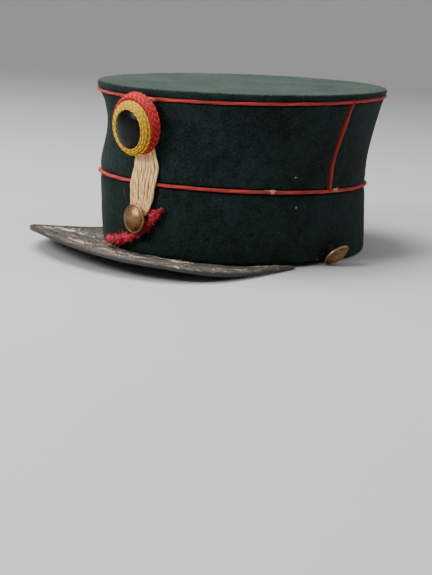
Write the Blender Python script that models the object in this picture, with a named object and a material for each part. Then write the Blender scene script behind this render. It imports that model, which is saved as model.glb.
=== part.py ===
"""A stiff cloth kepi cap with a leather peak, a round cockade, a strap of cords and three buttons.

Units are metres and +Z is up. The wearer faces -Y and the wearer's left is +X. The cap is modelled
around the centre of its head opening, on the plane that it rests on, and an empty carries every
piece to the place where the world's origin is under the middle of the whole cap.
An angle goes round the cap from the front (0) through the wearer's left (90) to the back (180).
"""

import math
from collections import namedtuple

import bmesh
import bpy
from mathutils import Matrix, Vector

# Small clearances
GAP = 0.0003
FLOOR_GAP = 0.0002

# Walls of the cap
WALL = 0.0022
EDGE_LENGTH = 0.2012
EDGE_WIDTH = 0.1660
FRONT_ARCH = 0.0022
SEAM_HEIGHT = 0.0483
SEAM_LENGTH = 0.1994
SEAM_WIDTH = 0.1662
SEAM_FORWARD = 0.0045
SEAM_RISE = -0.0050
TOP_HEIGHT = 0.1060
TOP_LENGTH = 0.2110
TOP_WIDTH = 0.1790
TOP_FORWARD = -0.0003
TOP_RISE = 0.0046
WAIST = 0.0022
DENT_DEPTH = 0.0034

# Top
RIM_HEIGHT = 0.0055
LID_RISE = 0.0026
RIM_OVERHANG = 0.0012
RIM_ROUND = 0.0022
TOP_THICKNESS = 0.0026
TOP_DISH = 0.0010

# Piping
PIPING = 0.0020
SIDE_SEAM_ANGLE = 90.4
SIDE_SEAM_SWEEP = 2.8

# Peak
PEAK_THICKNESS = 0.0020
PEAK_WIDTH = 0.1704
PEAK_REACH = 0.0492
PEAK_DEPTH = 0.0648
PEAK_SQUARENESS = 2.3
PEAK_TIP_HEIGHT = 0.0145
PEAK_DISH = 0.0008
PEAK_END_ANGLE = 72.0
BINDING_WIDTH = 0.0026
BINDING_HEIGHT = 0.0032

# Cockade
COCKADE_SIZE = 0.0380
COCKADE_ACROSS = 0.0090
COCKADE_BELOW_TOP = 0.0179
COCKADE_PLATE = 0.0060
YELLOW_SIZE = 0.0326
YELLOW_RISE = 0.0031
BOSS_WIDTH = 0.0242
BOSS_HEIGHT = 0.0262
BOSS_DROP = 0.0012
BOSS_RISE = 0.0059
BOSS_CORNERS = 2.6
COCKADE_DROP = 0.0016

# Buttons
BUTTON_SIZE = 0.0185
BUTTON_DOME = 0.0046
SHANK_SIZE = 0.0026
FRONT_BUTTON_ACROSS = 0.0102
FRONT_BUTTON_HEIGHT = 0.0280
SIDE_BUTTON_ANGLE = 89.5
SIDE_BUTTON_DROOP = 42.0
SIDE_BUTTON_CLEAR = 0.0004
SIDE_BUTTON_RIM = 0.26

# Strap of cords
STRAP_WIDTH = 0.0185
STRAP_THICKNESS = 0.0027
STRAP_ACROSS = 0.0152
STRAP_CORDS = 8

# Wool tuft
TUFT_SPAN = 0.0500
TUFT_RISE = 0.0300
TUFT_THICKNESS = 0.0066
TUFT_LOCK_LENGTH = 0.0100
TUFT_LOCKS = 14
TUFT_GRAIN = 0.0011

# Fineness of the faceted solids
COLUMNS = 56
PANEL_COLUMNS = 34
BAND_ROWS = 4
PEAK_COLUMNS = 37
ROUND_SIDES = 36
BUTTON_SIDES = 20

# Rings of the cap: rise is how much higher the back is than the front
Ring = namedtuple("Ring", "length width forward height rise")
EDGE = Ring(EDGE_LENGTH, EDGE_WIDTH, 0.0, 0.0, 0.0)
SEAM = Ring(SEAM_LENGTH, SEAM_WIDTH, SEAM_FORWARD, SEAM_HEIGHT, SEAM_RISE)
TOP = Ring(TOP_LENGTH, TOP_WIDTH, TOP_FORWARD, TOP_HEIGHT, TOP_RISE)
LID = Ring(TOP_LENGTH, TOP_WIDTH, TOP_FORWARD, TOP_HEIGHT + RIM_HEIGHT, LID_RISE)

# Lower edge: arch is a share of FRONT_ARCH, seat a share of the room that the peak needs under it
EdgeRow = namedtuple("EdgeRow", "angle arch seat")
EDGE_ROWS = (
    EdgeRow(0, 1.0, 1.0),
    EdgeRow(22, 0.85, 1.0),
    EdgeRow(42, 0.10, 1.0),
    EdgeRow(60, 0.0, 1.0),
    EdgeRow(88, 0.0, 1.0),
    EdgeRow(100, 0.0, 0.35),
    EdgeRow(112, 0.0, 0.0),
    EdgeRow(180, 0.0, 0.0),
)

# Waist of the crown: inset is a share of WAIST at each level of the crown
WaistRow = namedtuple("WaistRow", "level inset")
WAIST_ROWS = (
    WaistRow(0.0, 0.0),
    WaistRow(0.22, 0.85),
    WaistRow(0.5, 1.0),
    WaistRow(0.8, 0.7),
    WaistRow(1.0, 0.3),
)

# Dents in the crown: depth is a share of DENT_DEPTH, level and tall are shares of the crown's height,
# and lean is how many degrees the dent moves round from its bottom to the crown's top
Dent = namedtuple("Dent", "angle level depth spread tall lean")
DENTS = (
    Dent(62, 0.62, 0.55, 9, 0.34, 55),
    Dent(-50, 0.70, 1.40, 28, 0.34, 0),
    Dent(-50, 0.22, -0.35, 26, 0.22, 0),
    Dent(133, 0.35, 0.15, 25, 0.25, 0),
)
SEAM_FADE = 0.06

# Levels of the crown at which its panels and side piping have a row of points
CROWN_LEVELS = (0.0, 0.12, 0.25, 0.37, 0.48, 0.60, 0.76, 0.94, 1.0)

# Side seam: sweep is a share of SIDE_SEAM_SWEEP at each level of the crown
SeamRow = namedtuple("SeamRow", "level sweep")
SEAM_ROWS = (SeamRow(0.0, 0.0), SeamRow(0.33, 0.02), SeamRow(0.65, 0.58), SeamRow(1.0, 1.0))

# Peak from its right end (-1) through its tip (0) to its left end (1): rise is a share of the tip's
# height over the seat
PeakRow = namedtuple("PeakRow", "station rise")
PEAK_ROWS = (
    PeakRow(-1.0, 0.0),
    PeakRow(-0.82, 0.10),
    PeakRow(-0.66, 0.386),
    PeakRow(-0.50, 0.717),
    PeakRow(-0.34, 0.986),
    PeakRow(-0.17, 1.16),
    PeakRow(0.0, 1.0),
    PeakRow(0.17, 0.823),
    PeakRow(0.34, 0.70),
    PeakRow(0.50, 0.459),
    PeakRow(0.66, 0.219),
    PeakRow(0.82, 0.087),
    PeakRow(1.0, 0.0),
)
PEAK_WIDEST = 0.70
BINDING_TAPER_FROM = 0.80
BINDING_TAPER = 0.38

# Rounded rim of the top: inset is a share of RIM_ROUND and drop a share of it below the top
RimRow = namedtuple("RimRow", "inset drop")
RIM_ROWS = (RimRow(0.0, 1.0), RimRow(0.13, 0.5), RimRow(0.5, 0.13), RimRow(1.0, 0.0))

# Sizes of the lid's inner rings as shares of the whole
LID_SHARES = (0.75, 0.35)

# Strap from the front button (0) to the cockade (1)
StrapRow = namedtuple("StrapRow", "level across width")
STRAP_ROWS = (
    StrapRow(0.0, 0.65, 0.60),
    StrapRow(0.12, 0.76, 0.78),
    StrapRow(0.25, 0.85, 0.93),
    StrapRow(0.6, 0.955, 1.0),
    StrapRow(1.0, 1.0, 1.0),
)
STRAP_LEVELS = (0.0, 0.12, 0.25, 0.40, 0.5, 0.6, 0.7, 0.85, 1.0)

# Tuft's middle line: across and up are shares of TUFT_SPAN and TUFT_RISE from the front button
TuftRow = namedtuple("TuftRow", "station across up thick")
TUFT_ROWS = (
    TuftRow(0.0, -0.63, -0.63, 0.80),
    TuftRow(0.11, -0.50, -0.61, 1.05),
    TuftRow(0.20, -0.40, -0.57, 1.05),
    TuftRow(0.37, -0.21, -0.48, 1.05),
    TuftRow(0.52, -0.054, -0.38, 0.80),
    TuftRow(0.63, 0.062, -0.28, 0.62),
    TuftRow(0.73, 0.155, -0.13, 0.62),
    TuftRow(0.84, 0.238, 0.04, 0.68),
    TuftRow(0.95, 0.312, 0.22, 0.80),
    TuftRow(1.0, 0.336, 0.30, 0.55),
)
TUFT_UNDER_BUTTON = 0.68

# Boss's outline from its seat to its crown: out is a share of the radius, up a share of the rise
BossRow = namedtuple("BossRow", "out up")
BOSS_ROWS = (
    BossRow(1.0, 0.0),
    BossRow(1.0, 0.5),
    BossRow(0.88, 0.75),
    BossRow(0.55, 0.94),
    BossRow(0.2, 1.0),
)

# Button's outline from its back to its crown: out is a share of the radius, up a share of the dome
ButtonRow = namedtuple("ButtonRow", "out up")
BUTTON_ROWS = (
    ButtonRow(0.93, 0.0),
    ButtonRow(1.0, 0.13),
    ButtonRow(1.0, 0.26),
    ButtonRow(0.92, 0.37),
    ButtonRow(0.85, 0.34),
    ButtonRow(0.70, 0.62),
    ButtonRow(0.42, 0.90),
    ButtonRow(0.14, 1.0),
)

# What follows from the sizes
PEAK_ROOM = PEAK_THICKNESS + GAP + FLOOR_GAP
HALF_SLOT = PIPING / 2 + GAP
COCKADE_HEIGHT = TOP_HEIGHT - COCKADE_BELOW_TOP
TIP_Y = -(EDGE_LENGTH / 2 + PEAK_REACH)
BACK_Y = TOP_LENGTH / 2 + RIM_OVERHANG - TOP_FORWARD
MIDDLE_Y = (TIP_Y + BACK_Y) / 2


def clear_scene():
    for obj in list(bpy.data.objects):
        bpy.data.objects.remove(obj, do_unlink=True)


def mix(a, b, share):
    return a + (b - a) * share


def mix_rings(low, high, share):
    return Ring(*(mix(a, b, share) for a, b in zip(low, high)))


def follow(rows, column, place):
    """The value of a column at a place along a table's first column, on a smooth curve through its rows."""
    places = [row[0] for row in rows]
    values = [getattr(row, column) for row in rows]
    place = min(max(place, places[0]), places[-1])
    last = len(rows) - 1
    i = min(max(j for j in range(last) if places[j] <= place), last - 1)

    def slope(j):
        before, after = max(j - 1, 0), min(j + 1, last)
        left = (values[j] - values[before]) * (values[after] - values[j])
        if before == j or after == j or left <= 0:
            return 0.0
        return (values[after] - values[before]) / (places[after] - places[before])

    width = places[i + 1] - places[i]
    t = (place - places[i]) / width
    rise = values[i + 1] - values[i]
    bend = (1 - t) * (slope(i) * width - rise) - t * (slope(i + 1) * width - rise)
    return values[i] + t * rise + t * (1 - t) * bend


def ring_point(ring, angle, out=0.0, up=0.0):
    """A point of an oval ring, moved out along the oval's normal and up."""
    turn = math.radians(angle)
    half_length, half_width = ring.length / 2, ring.width / 2
    normal = Vector((math.sin(turn) / half_width, -math.cos(turn) / half_length, 0)).normalized()
    point = Vector((half_width * math.sin(turn), -ring.forward - half_length * math.cos(turn), 0))
    point += normal * out
    point.z = ring.height + ring.rise * point.y / ring.length + up
    return point


def edge_height(angle):
    away = abs((angle + 180) % 360 - 180)
    return FRONT_ARCH * follow(EDGE_ROWS, "arch", away) + PEAK_ROOM * follow(EDGE_ROWS, "seat", away)


def dent_inset(angle, level):
    """How far the crown's wall lies inside the straight line between its two seams."""
    inset = WAIST * follow(WAIST_ROWS, "inset", level)
    for dent in DENTS:
        middle = dent.angle + dent.lean * (level - dent.level)
        round_share = ((angle - middle + 180) % 360 - 180) / dent.spread
        up_share = (level - dent.level) / dent.tall
        inset += DENT_DEPTH * dent.depth * math.exp(-round_share**2 - up_share**2)
    return inset * min(level / SEAM_FADE, (1 - level) / SEAM_FADE, 1)


def band_point(angle, share, out=0.0):
    """A point of the lower band's face, from its edge (0) to the band seam (1)."""
    point = ring_point(mix_rings(EDGE, SEAM, share), angle, out)
    top = ring_point(SEAM, angle).z - HALF_SLOT
    point.z = mix(edge_height(angle), top, share)
    return point


def crown_point(angle, share, out=0.0):
    """A point of the crown's face, from the band seam (0) to the top seam (1)."""
    point = ring_point(mix_rings(SEAM, TOP, share), angle, out - dent_inset(angle, share))
    low = ring_point(SEAM, angle).z + HALF_SLOT
    high = ring_point(TOP, angle).z - HALF_SLOT
    point.z = mix(low, high, share)
    return point


def front_wall(across, height):
    """The point of the wall's front face at this place across the cap and this height."""
    seam_z = ring_point(SEAM, 0).z
    top_z = ring_point(TOP, 0).z
    if height < seam_z:
        share = max(height, 0.0) / seam_z
        ring, face = mix_rings(EDGE, SEAM, share), 0.0
        angle = math.degrees(math.asin(2 * across / ring.width))
    else:
        share = min((height - seam_z) / (top_z - seam_z), 1.0)
        ring = mix_rings(SEAM, TOP, share)
        angle = math.degrees(math.asin(2 * across / ring.width))
        face = dent_inset(angle, share)
    point = ring_point(ring, angle, -face)
    point.z = height
    return point


def material(name, color, roughness, metallic=0.0):
    made = bpy.data.materials.new(name)
    made.use_nodes = True
    shader = made.node_tree.nodes["Principled BSDF"]
    shader.inputs["Base Color"].default_value = (*color, 1.0)
    shader.inputs["Roughness"].default_value = roughness
    shader.inputs["Metallic"].default_value = metallic
    return made


def add_object(name, mesh, finish, sharp_angle=40):
    mesh.materials.append(finish)
    mesh.shade_smooth()
    mesh.set_sharp_from_angle(angle=math.radians(sharp_angle))
    obj = bpy.data.objects.new(name, mesh)
    bpy.context.scene.collection.objects.link(obj)
    obj.parent = bpy.data.objects["cap_middle"]
    return obj


def loft(name, loops, finish, ends="flat"):
    """A closed solid through loops of points. Its ends are flat, joined, or strips across a wall."""
    made = bmesh.new()
    corners = [[made.verts.new(point) for point in loop] for loop in loops]
    count = len(loops[0])
    pairs = list(zip(corners, corners[1:]))
    if ends == "joined":
        pairs.append((corners[-1], corners[0]))
    elif ends == "strips":
        for loop, step in ((corners[0], -1), (corners[-1], 1)):
            for i in range(count // 2 - 1):
                strip = (loop[i], loop[i + 1], loop[-2 - i], loop[-1 - i])
                made.faces.new(strip[::step])
    else:
        made.faces.new(list(reversed(corners[0])))
        made.faces.new(corners[-1])
    for low, high in pairs:
        for i in range(count):
            j = (i + 1) % count
            made.faces.new((low[i], low[j], high[j], high[i]))
    bmesh.ops.recalc_face_normals(made, faces=made.faces)
    mesh = bpy.data.meshes.new(name)
    made.to_mesh(mesh)
    made.free()
    return add_object(name, mesh, finish)


def turned(name, rows, sides, finish, place, corners=2.0):
    """A body turned about a placed axis, from (radius, height) rows. More corners square its outline."""
    loops = []
    for radius, height in rows:
        loop = []
        for i in range(sides):
            turn = math.tau * i / sides
            reach = (abs(math.cos(turn)) ** corners + abs(math.sin(turn)) ** corners) ** (-1 / corners)
            local = Vector((radius * reach * math.cos(turn), radius * reach * math.sin(turn), height))
            loop.append(place @ local)
        loops.append(loop)
    return loft(name, loops, finish)


def wall_section(face, shares):
    """A closed section of a wall: up its outer face and down its inner one."""
    outer = [face(share, 0.0) for share in shares]
    inner = [face(share, -WALL) for share in shares[::-1]]
    return outer + inner


def lower_band(cloth):
    shares = [row / BAND_ROWS for row in range(BAND_ROWS + 1)]
    angles = [360 * i / COLUMNS for i in range(COLUMNS)]
    loops = [wall_section(lambda s, out: band_point(angle, s, out), shares) for angle in angles]
    loft("lower_band", loops, cloth, "joined")


def seam_angle(level):
    return SIDE_SEAM_ANGLE + SIDE_SEAM_SWEEP * follow(SEAM_ROWS, "sweep", level)


def slot_angle():
    """Half of the side seam's slot, as an angle on the cap's side."""
    return math.degrees(2 * HALF_SLOT / SEAM_LENGTH)


def crown_panel(name, cloth, start, end):
    """One cloth panel of the crown between two angles, which may change with the level."""

    def column(share_round):
        def face(level, out):
            return crown_point(mix(start(level), end(level), share_round), level, out)

        return wall_section(face, CROWN_LEVELS)

    loft(name, [column(i / PANEL_COLUMNS) for i in range(PANEL_COLUMNS + 1)], cloth, "strips")


def crown_panels(cloth):
    slot = slot_angle()
    crown_panel("crown_front", cloth, lambda s: slot - seam_angle(s), lambda s: seam_angle(s) - slot)
    crown_panel("crown_back", cloth, lambda s: seam_angle(s) + slot, lambda s: 360 - seam_angle(s) - slot)


def crown_top(cloth):
    """The flat top: a short skirt stands on the top piping, and a rounded rim closes into the dished lid."""
    rows = [(LID, WALL, -TOP_THICKNESS), (TOP, WALL, HALF_SLOT), (TOP, RIM_ROUND / 4, HALF_SLOT)]
    rows.append((TOP, 0.0, HALF_SLOT + RIM_ROUND / 2))
    rows += [(LID, RIM_ROUND * row.inset, -RIM_ROUND * row.drop) for row in RIM_ROWS]
    angles = [360 * i / COLUMNS for i in range(COLUMNS)]
    loops = []
    for ring, inset, up in rows:
        loops.append([ring_point(ring, angle, RIM_OVERHANG - inset, up) for angle in angles])
    for share in LID_SHARES:
        small = LID._replace(length=TOP_LENGTH * share, width=TOP_WIDTH * share, rise=LID_RISE * share)
        sink = TOP_DISH * math.cos(math.pi / 2 * share)
        loops.append([ring_point(small, angle, 0.0, -sink) for angle in angles])
    loft("crown_top", loops, cloth)


def piping_section():
    """(out, up) points of piping: a flat tail inside the seam and a round face outside it."""
    radius = PIPING / 2
    turns = [math.radians(-90 + 45 * i) for i in range(5)]
    face = [(radius * math.cos(turn), radius * math.sin(turn)) for turn in turns]
    return [(-WALL, -radius), *face, (-WALL, radius)]


def ring_piping(name, ring, wool):
    angles = [360 * i / COLUMNS for i in range(COLUMNS)]
    section = piping_section()
    loops = [[ring_point(ring, angle, out, up) for out, up in section] for angle in angles]
    loft(name, loops, wool, "joined")


def side_piping(name, wool, side):
    """Piping in one side seam: side is 1 for the wearer's left and -1 for the right."""
    loops = []
    for level in CROWN_LEVELS:
        angle = seam_angle(level) * side
        along = (crown_point(angle + 1, level) - crown_point(angle - 1, level)).normalized()
        loops.append([crown_point(angle, level, out) + along * across for out, across in piping_section()])
    loft(name, loops, wool)


def peak_outline(station):
    """The peak's outer edge seen from above, from one end (-1) through the tip (0) to the other end (1)."""
    side = -1 if station < 0 else 1
    station = abs(station)
    widest_y = TIP_Y + PEAK_DEPTH
    if station <= PEAK_WIDEST:
        turn = math.pi / 2 * station / PEAK_WIDEST
        across = math.sin(turn) ** (2 / PEAK_SQUARENESS)
        ahead = math.cos(turn) ** (2 / PEAK_SQUARENESS)
        return Vector((side * PEAK_WIDTH / 2 * across, widest_y - PEAK_DEPTH * ahead, 0))
    horn = ring_point(EDGE, PEAK_END_ANGLE, BINDING_WIDTH + 4 * GAP)
    share = (station - PEAK_WIDEST) / (1 - PEAK_WIDEST)
    across = mix(horn.x, PEAK_WIDTH / 2, math.cos(math.pi / 2 * share))
    return Vector((side * across, mix(widest_y, horn.y, share), 0))


def peak_inward(station):
    """The direction from the peak's edge towards the cap, square to the edge."""
    step = 0.01
    along = peak_outline(min(station + step, 1)) - peak_outline(max(station - step, -1))
    return Vector((-along.y, along.x, 0)).normalized()


def peak_edge_height(station):
    """The height of the peak's upper face at its outer edge."""
    seat = PEAK_THICKNESS + FLOOR_GAP
    return seat + (PEAK_TIP_HEIGHT - seat) * follow(PEAK_ROWS, "rise", station)


def peak_stations():
    return [2 * i / (PEAK_COLUMNS - 1) - 1 for i in range(PEAK_COLUMNS)]


def peak(leather):
    """A leather plate whose inner edge lies flat under the band and whose outer edge turns up at the tip."""
    loops = []
    for station in peak_stations():
        angle = PEAK_END_ANGLE * station
        seat_z = edge_height(angle) - GAP
        under = ring_point(EDGE, angle, -WALL)
        seat = ring_point(EDGE, angle, 2 * GAP)
        rim = peak_outline(station) + peak_inward(station) * (BINDING_WIDTH + GAP)
        upper = [Vector((under.x, under.y, seat_z)), Vector((seat.x, seat.y, seat_z))]
        for share in (0.25, 0.5, 0.75, 1.0):
            point = Vector((mix(seat.x, rim.x, share), mix(seat.y, rim.y, share), 0))
            dish = PEAK_DISH * math.sin(math.pi * share) * (1 - abs(station))
            point.z = mix(seat_z, peak_edge_height(station), share) - dish
            upper.append(point)
        lower = [point - Vector((0, 0, PEAK_THICKNESS)) for point in reversed(upper)]
        loops.append(upper + lower)
    loft("peak", loops, leather, "strips")


def peak_binding(leather):
    """The bound edge that closes the peak's rim."""
    loops = []
    for station in peak_stations():
        inward = peak_inward(station)
        middle = peak_outline(station) + inward * BINDING_WIDTH / 2
        middle.z = peak_edge_height(station) - PEAK_THICKNESS / 2
        end_share = max(abs(station) - BINDING_TAPER_FROM, 0) / (1 - BINDING_TAPER_FROM)
        tall = BINDING_HEIGHT / 2 * (1 - BINDING_TAPER * end_share)
        wide = BINDING_WIDTH / 2
        section = [(wide, 0.55), (0.45 * wide, 1), (-0.45 * wide, 1), (-wide, 0.55)]
        section += [(across, -up) for across, up in reversed(section)]
        loops.append([middle + inward * across + Vector((0, 0, up * tall)) for across, up in section])
    loft("peak_binding", loops, leather, "strips")


def facing(normal, origin):
    """A placement whose +Z looks along the normal and whose +X lies level."""
    across = Vector((0, 0, 1)).cross(normal).normalized()
    upward = normal.cross(across)
    turn = Matrix((across, upward, normal)).transposed().to_4x4()
    return Matrix.Translation(origin) @ turn


def cockade_place():
    """The cockade leans on the top piping with its upper half and on the crown with its lower edge."""
    radius = COCKADE_SIZE / 2
    rest_low = front_wall(0.0, COCKADE_HEIGHT - radius)
    rest_high = ring_point(TOP, 0, PIPING / 2)
    rise = (rest_high - rest_low).normalized()
    normal = Vector((1, 0, 0)).cross(rise)
    middle = rest_low + rise * radius + normal * 1.5 * GAP
    middle.x = COCKADE_ACROSS
    return facing(normal, middle)


def cockade(red_wool, yellow_wool, leather):
    place = cockade_place()
    radius, yellow = COCKADE_SIZE / 2, YELLOW_SIZE / 2
    plate = COCKADE_PLATE
    red_rows = [(radius * 0.97, 0.0), (radius, plate * 0.12), (radius, plate * 0.4)]
    red_rows += [(mix(radius, yellow, 0.4), plate * 0.78), (yellow, plate)]
    turned("cockade_red", red_rows, ROUND_SIDES, red_wool, place)
    face = place @ Matrix.Translation((0, -COCKADE_DROP, 0))
    seat = plate + GAP
    high = seat + YELLOW_RISE
    bore_across, bore_up = BOSS_WIDTH / 2 + GAP, BOSS_HEIGHT / 2 + GAP
    rows = [(0.0, seat), (1.0, seat), (0.8, mix(seat, high, 0.45)), (0.4, mix(seat, high, 0.9)), (0.0, high)]
    loops = []
    for i in range(ROUND_SIDES):
        turn = math.tau * i / ROUND_SIDES
        loop = []
        for share, height in rows:
            across = mix(bore_across, yellow, share) * math.cos(turn)
            up = mix(bore_up, yellow, share) * math.sin(turn) - BOSS_DROP * (1 - share)
            loop.append(face @ Vector((across, up, height)))
        loops.append(loop)
    loft("cockade_yellow", loops, yellow_wool, "joined")
    inscribed = BOSS_HEIGHT / 2 * 2 ** (1 / BOSS_CORNERS - 0.5)
    boss_rows = [(inscribed * row.out, seat + BOSS_RISE * row.up) for row in BOSS_ROWS]
    oval = Matrix.Diagonal((BOSS_WIDTH / BOSS_HEIGHT, 1, 1, 1))
    low_face = face @ Matrix.Translation((0, -BOSS_DROP, 0))
    turned("cockade_boss", boss_rows, ROUND_SIDES, leather, low_face @ oval, BOSS_CORNERS)


def button(name, brass, place, shank_length):
    radius, shank = BUTTON_SIZE / 2, SHANK_SIZE / 2
    rows = [(shank, -shank_length), (shank, 0.0)]
    rows += [(radius * row.out, BUTTON_DOME * row.up) for row in BUTTON_ROWS]
    turned(name, rows, BUTTON_SIDES, brass, place)


def front_button_stand():
    """How far the front button's back stands off the wall: over the strap and the tuft's thin middle."""
    thin = TUFT_THICKNESS * follow(TUFT_ROWS, "thick", TUFT_UNDER_BUTTON)
    return max(STRAP_THICKNESS, thin) + 2 * GAP


def front_button(brass):
    wall = front_wall(FRONT_BUTTON_ACROSS, FRONT_BUTTON_HEIGHT)
    stand = front_button_stand()
    origin = wall + Vector((0, -stand, 0))
    button("front_button", brass, facing(Vector((0, -1, 0)), origin), stand - 2 * GAP)


def side_button(name, brass, side):
    """A side button hangs from its shank with its face turned down, clear of the floor."""
    droop = math.radians(SIDE_BUTTON_DROOP)
    radius, shank = BUTTON_SIZE / 2, SHANK_SIZE / 2
    rim = BUTTON_DOME * SIDE_BUTTON_RIM
    height = SIDE_BUTTON_CLEAR + radius * math.cos(droop) + rim * math.sin(droop)
    wall = band_point(SIDE_BUTTON_ANGLE, 0.0)
    reach = GAP + radius * math.sin(droop)
    origin = Vector((side * (wall.x + reach), wall.y, height))
    normal = Vector((side * math.cos(droop), 0, -math.sin(droop)))
    length = (reach - 2 * GAP) / math.cos(droop) - shank * math.tan(droop)
    button(name, brass, facing(normal, origin), length)


def strap_top(across):
    """The height at which the strap meets the cockade's lower edge."""
    away = min(abs(across - COCKADE_ACROSS), COCKADE_SIZE / 2 * 0.95)
    return COCKADE_HEIGHT - math.sqrt((COCKADE_SIZE / 2) ** 2 - away**2) - 2 * GAP


def strap_stand(height):
    """How far the strap's back stands off the wall: it rides over the band's piping."""
    away = abs(height - ring_point(SEAM, 0).z) / PIPING
    return GAP + PIPING / 2 * min(max(2.2 - away, 0), 1)


def cord_strap(cord):
    """Parallel cords as one lobed strap from the front button's shank up to the cockade."""
    low = FRONT_BUTTON_HEIGHT + SHANK_SIZE / 2 + GAP
    points_front = 2 * STRAP_CORDS + 1
    loops = []
    for level in STRAP_LEVELS:
        middle = STRAP_ACROSS * follow(STRAP_ROWS, "across", level)
        width = STRAP_WIDTH * follow(STRAP_ROWS, "width", level)
        loop = []
        for i in range(points_front):
            across = middle + width * (i / (points_front - 1) - 0.5)
            lobe = 1.0 if i % 2 else 0.68
            loop.append((across, lobe * STRAP_THICKNESS))
        for i in range(points_front - 1, -1, -4):
            across = middle + width * (i / (points_front - 1) - 0.5)
            loop.append((across, 0.0))
        points = []
        for across, out in loop:
            height = mix(low, strap_top(across), level)
            wall = front_wall(across, height)
            points.append(Vector((across, wall.y - strap_stand(height) - out, height)))
        loops.append(points)
    loft("cord_strap", loops, cord)


def tuft_middle(station):
    """A point of the tuft's middle line and the tuft's radius there."""
    radius = TUFT_THICKNESS / 2 * follow(TUFT_ROWS, "thick", station)
    across = FRONT_BUTTON_ACROSS + TUFT_SPAN * follow(TUFT_ROWS, "across", station)
    height = FRONT_BUTTON_HEIGHT + TUFT_RISE * follow(TUFT_ROWS, "up", station)
    point = front_wall(across, height)
    point.y -= radius + GAP
    return point, radius


def lock_mesh(made, start, end, radius, sides=6):
    """Adds one pointed lock between two points to a bmesh."""
    along = end - start
    place = facing(along.normalized(), start)
    tip_low = made.verts.new(start)
    tip_high = made.verts.new(end)
    loops = []
    for share, size in ((0.2, 0.8), (0.5, 1.0), (0.8, 0.7)):
        loop = []
        for i in range(sides):
            turn = math.tau * i / sides
            local = Vector((math.cos(turn), math.sin(turn), 0)) * radius * size
            local.z = along.length * share
            loop.append(made.verts.new(place @ local))
        loops.append(loop)
    for i in range(sides):
        j = (i + 1) % sides
        made.faces.new((tip_low, loops[0][j], loops[0][i]))
        made.faces.new((tip_high, loops[2][i], loops[2][j]))
        for low, high in zip(loops, loops[1:]):
            made.faces.new((low[i], low[j], high[j], high[i]))


def red_tuft(wool):
    """Frayed wool in pointed locks, fused into one body."""
    made = bmesh.new()
    core_steps = 10
    for step in range(core_steps):
        start, _ = tuft_middle(step / core_steps * 0.96)
        end, radius = tuft_middle(min((step + 1.6) / core_steps, 1.0))
        lock_mesh(made, start, end, radius * 0.9)
    for i in range(TUFT_LOCKS):
        station = (i + 0.5) / TUFT_LOCKS
        middle, radius = tuft_middle(station)
        ahead, _ = tuft_middle(min(station + 0.05, 1.0))
        behind, _ = tuft_middle(max(station - 0.05, 0.0))
        along = (ahead - behind).normalized()
        upward = Vector((-along.z, 0, along.x))
        lean = (0.55, -0.5, 0.25, -0.7)[i % 4]
        direction = (along + upward * lean).normalized()
        reach = TUFT_LOCK_LENGTH / 2 * radius / (TUFT_THICKNESS / 2)
        centre = middle + upward * radius * lean * 0.35
        lock_mesh(made, centre - direction * reach, centre + direction * reach, radius * 0.62)
    bmesh.ops.recalc_face_normals(made, faces=made.faces)
    mesh = bpy.data.meshes.new("red_tuft")
    made.to_mesh(mesh)
    made.free()
    obj = add_object("red_tuft", mesh, wool, sharp_angle=80)
    fuse = obj.modifiers.new("fuse", "REMESH")
    fuse.mode = "VOXEL"
    fuse.voxel_size = TUFT_GRAIN
    fuse.use_smooth_shade = True
    thin = obj.modifiers.new("thin", "DECIMATE")
    thin.ratio = 0.45


def build():
    clear_scene()
    middle = bpy.data.objects.new("cap_middle", None)
    middle.location = (0, -MIDDLE_Y, 0)
    bpy.context.scene.collection.objects.link(middle)
    cloth = material("green_cloth", (0.010, 0.026, 0.022), 0.95)
    piping = material("red_piping", (0.52, 0.040, 0.028), 0.8)
    leather = material("peak_leather", (0.060, 0.055, 0.045), 0.6)
    red = material("red_wool", (0.60, 0.020, 0.020), 0.85)
    yellow = material("yellow_wool", (0.62, 0.42, 0.030), 0.85)
    boss = material("boss_leather", (0.010, 0.010, 0.012), 0.4)
    cord = material("cream_cord", (0.68, 0.55, 0.38), 0.85)
    tuft = material("crimson_wool", (0.50, 0.012, 0.030), 0.9)
    brass = material("worn_brass", (0.40, 0.24, 0.11), 0.4, 1.0)
    lower_band(cloth)
    crown_panels(cloth)
    crown_top(cloth)
    ring_piping("band_piping", SEAM, piping)
    ring_piping("top_piping", TOP, piping)
    side_piping("side_piping_left", piping, 1)
    side_piping("side_piping_right", piping, -1)
    peak(leather)
    peak_binding(leather)
    cockade(red, yellow, boss)
    cord_strap(cord)
    red_tuft(tuft)
    front_button(brass)
    side_button("side_button_left", brass, 1)
    side_button("side_button_right", brass, -1)


build()
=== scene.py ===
"""The looks of a stiff cloth kepi cap: napped cloth, twisted piping, a cockade of wound wool cords, a strap
of loose cream cords, a frayed wool tuft, a cracked leather peak and worn brass buttons.

Units are metres, +Z is up and the wearer faces -Y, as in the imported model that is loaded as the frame.
"""

import math
import random
from collections import namedtuple

import bmesh
import bpy
import numpy as np
from bpy.props import FloatProperty, FloatVectorProperty, IntProperty, PointerProperty
from bpy.types import Operator, Panel, PropertyGroup
from mathutils import Matrix, Vector, noise
from mathutils.bvhtree import BVHTree


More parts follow.
